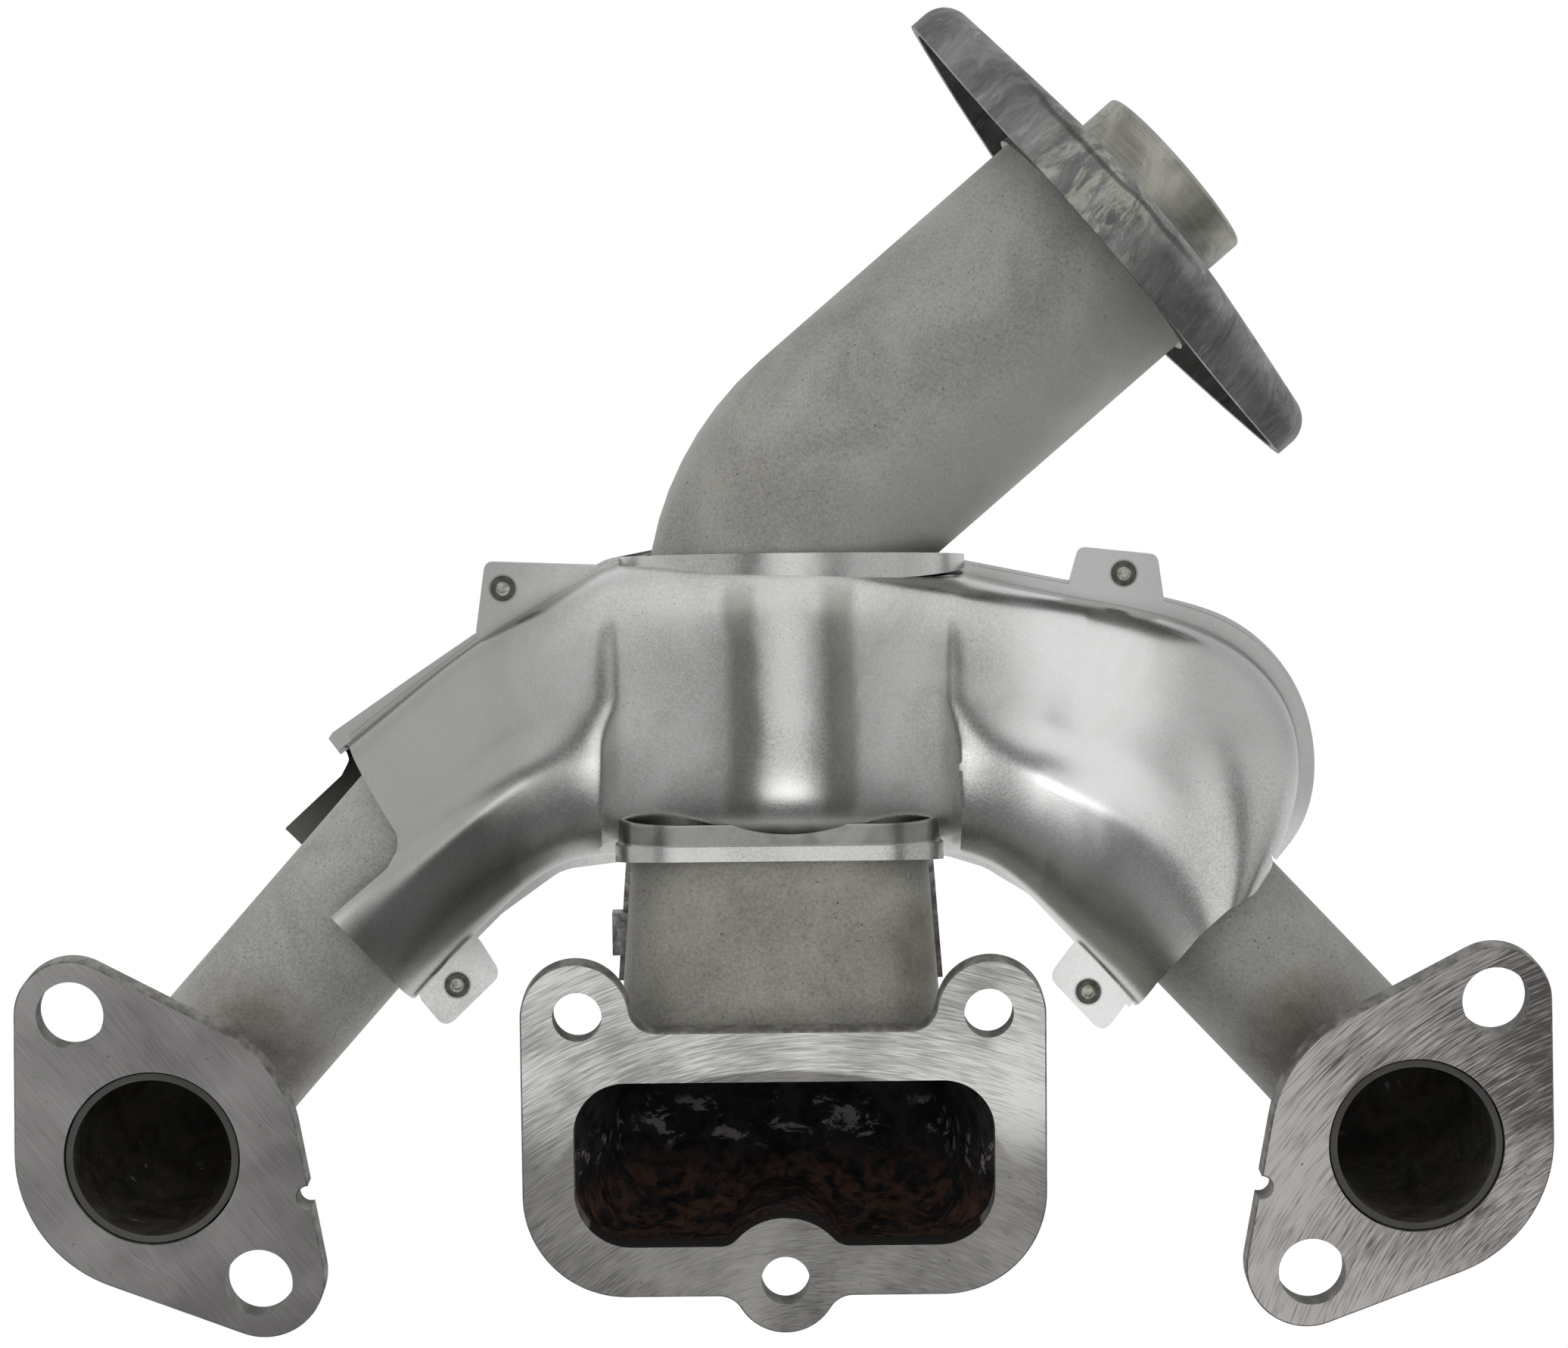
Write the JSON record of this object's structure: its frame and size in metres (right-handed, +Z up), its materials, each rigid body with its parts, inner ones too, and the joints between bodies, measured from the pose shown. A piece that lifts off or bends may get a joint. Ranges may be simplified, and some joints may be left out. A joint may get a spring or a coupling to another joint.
{
  "type": "exhaust manifold",
  "caption": "Tubular steel exhaust manifold: flanged runner tubes, a wide centre duct, a stamped heat shield and a bent outlet pipe with a dished flange and spigot.",
  "frame": {"origin": "on the head-side gasket plane, midway between the two outer port centres", "axes": "+X across the cylinder head towards the outlet side, +Y away from the head into the engine bay, +Z up along the centre duct"},
  "size_m": [0.4016, 0.1062, 0.3442],
  "materials": {
    "flange_plate": "ground flat, fine brushing",
    "tube_steel": "matt bare tube",
    "duct_steel": "matt pressed sheet",
    "outlet_flange_steel": "dark scuffed pressing",
    "spigot_steel": "matt bare tube",
    "shield_sheet": "satin aluminised sheet",
    "rivet_metal": "dull clinched metal",
    "weld_metal": "rough bead"
  },
  "bodies": {
    "root": {"center_flange": "flange_plate", "left_flange": "flange_plate", "right_flange": "flange_plate", "left_runner": "tube_steel", "right_runner": "tube_steel", "collector_front_shell": "duct_steel", "collector_rear_shell": "duct_steel", "outlet_pipe": "tube_steel", "outlet_flange": "outlet_flange_steel", "outlet_spigot": "spigot_steel", "heat_shield_front": "shield_sheet", "heat_shield_rear": "shield_sheet", "shield_rivet_top_left": "rivet_metal", "shield_rivet_top_right": "rivet_metal", "shield_rivet_bottom_left": "rivet_metal", "shield_rivet_bottom_right": "rivet_metal", "left_flange_weld": "weld_metal", "right_flange_weld": "weld_metal", "center_flange_weld": "weld_metal", "left_runner_weld": "weld_metal", "right_runner_weld": "weld_metal", "outlet_pipe_weld": "weld_metal", "outlet_flange_weld": "weld_metal", "collector_seam_weld_left": "weld_metal", "collector_seam_weld_right": "weld_metal"}
  },
  "joints": []
}
